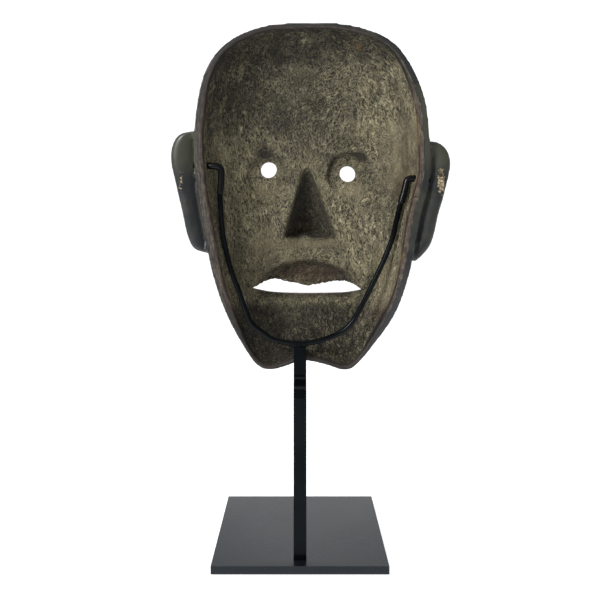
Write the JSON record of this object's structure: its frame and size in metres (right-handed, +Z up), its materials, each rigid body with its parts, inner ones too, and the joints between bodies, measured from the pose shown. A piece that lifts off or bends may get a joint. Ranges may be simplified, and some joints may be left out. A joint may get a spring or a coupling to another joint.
{
  "type": "carved wooden mask on a display stand",
  "caption": "Hollow carved wooden face mask with ears, hung by its two side tie holes on a bent rod cradle that stands on a flat bar and a square base plate.",
  "frame": {"origin": "centre of the underside of the base, on the surface it stands on", "axes": "+Z up, the mask's face looks along -Y and its open back along +Y, +X to the mask's own left side"},
  "size_m": [0.2101, 0.13, 0.4033],
  "materials": {
    "felt": "pressed wool felt",
    "base_paint": "satin dark slate powder coat",
    "stand_paint": "satin black paint",
    "sleeve_rubber": "glossy shrink tubing",
    "zinc_steel": "zinc plated",
    "carved_wood": "aged and encrusted inside, dark lacquer outside"
  },
  "bodies": {
    "stand": {"base_felt": "felt", "base_plate": "base_paint", "post_screw": "zinc_steel", "post": "stand_paint", "cradle_fork": "stand_paint", "sleeve_left": "sleeve_rubber", "sleeve_right": "sleeve_rubber"},
    "mask": {"mask": "carved_wood"}
  },
  "joints": [
    {"name": "mask_swing", "type": "hinge", "parent": "stand", "child": "mask", "pos_m": [-0.0106, 0.039, 0.2941], "axis": [-0.9981, 0, -0.0612], "range_deg": [0, 60]}
  ]
}
